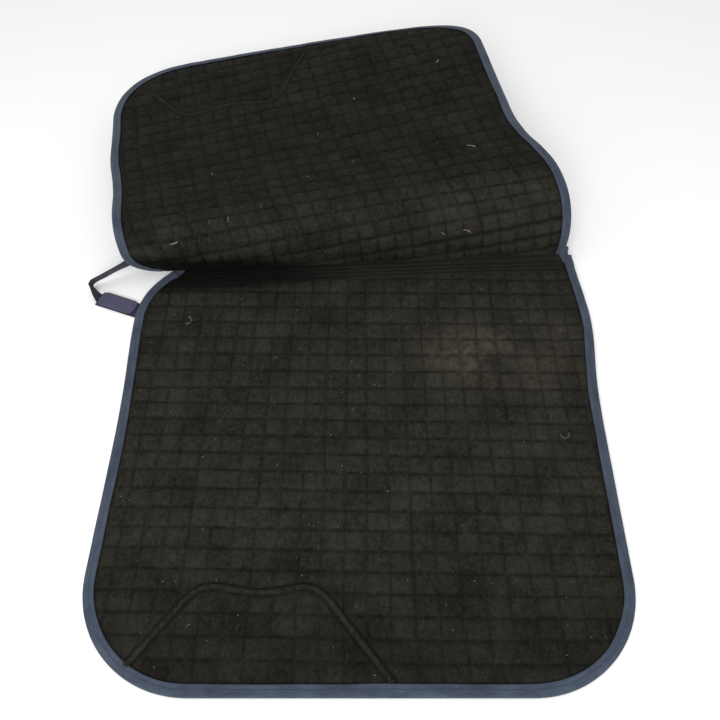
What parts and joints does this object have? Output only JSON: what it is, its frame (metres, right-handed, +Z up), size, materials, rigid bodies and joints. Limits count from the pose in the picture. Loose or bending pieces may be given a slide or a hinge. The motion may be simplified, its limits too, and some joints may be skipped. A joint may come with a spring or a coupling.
{
  "type": "saddle pad",
  "caption": "Quilted English saddle pad opened out lining side up, with bound edges, a ribbed spine tape, raised girth patch welts and a webbing front strap with a pile tab.",
  "frame": {"origin": "middle of the spine, on the ground under the outer spine tape", "axes": "+X towards the pad's rear along the quilting rows, -X the front (withers) end, -Y the flat near panel, +Y the far panel, +Z up"},
  "size_m": [0.7329, 1.101, 0.1243],
  "materials": {
    "black_cotton": "napped black cotton twill, matt and lint-covered",
    "white_wadding": "soft polyester wadding",
    "navy_shell": "matt navy cotton-polyester shell",
    "navy_binding": "faded navy cotton binding tape, ribbed weave",
    "navy_webbing": "navy woven webbing",
    "loop_pile": "worn purple-grey loop pile",
    "hook_tape": "dark hook tape"
  },
  "bodies": {
    "near_panel": {"near_lining": "black_cotton", "near_wadding": "white_wadding", "near_shell": "navy_shell", "near_binding": "navy_binding", "near_welt": "black_cotton", "near_girth_patch": "navy_shell", "near_girth_keeper": "navy_webbing", "near_strap_webbing": "navy_webbing", "spine_tape": "black_cotton", "outer_spine_tape": "navy_shell", "hook_tape": "hook_tape", "far_strap_webbing": "navy_webbing"},
    "roll": {"roll_lining": "black_cotton", "roll_wadding": "white_wadding", "roll_shell": "navy_shell", "roll_front_binding": "navy_binding", "roll_rear_binding": "navy_binding", "far_strap_anchor": "navy_webbing"},
    "flap": {"flap_lining": "black_cotton", "flap_wadding": "white_wadding", "flap_shell": "navy_shell", "flap_binding": "navy_binding", "flap_welt": "black_cotton", "flap_girth_patch": "navy_shell", "flap_girth_keeper": "navy_webbing"},
    "strap_tab": {"strap_tab": "navy_webbing", "loop_tape": "loop_pile"}
  },
  "joints": [
    {"name": "spine_fold", "type": "hinge", "parent": "near_panel", "child": "roll", "pos_m": [-0.00084, 0.01598, 0.0089], "axis": [0.9986, 0.0523, 0], "range_deg": [0, 15]},
    {"name": "flap_bend", "type": "hinge", "parent": "roll", "child": "flap", "pos_m": [0, 0.06773, 0.11206], "axis": [0.9966, 0.0752, 0.0325], "range_deg": [0, 150]},
    {"name": "strap_peel", "type": "hinge", "parent": "near_panel", "child": "strap_tab", "pos_m": [-0.39324, -0.04665, 0.00245], "axis": [-0.357, -0.9341, 0], "range_deg": [0, 90]}
  ]
}
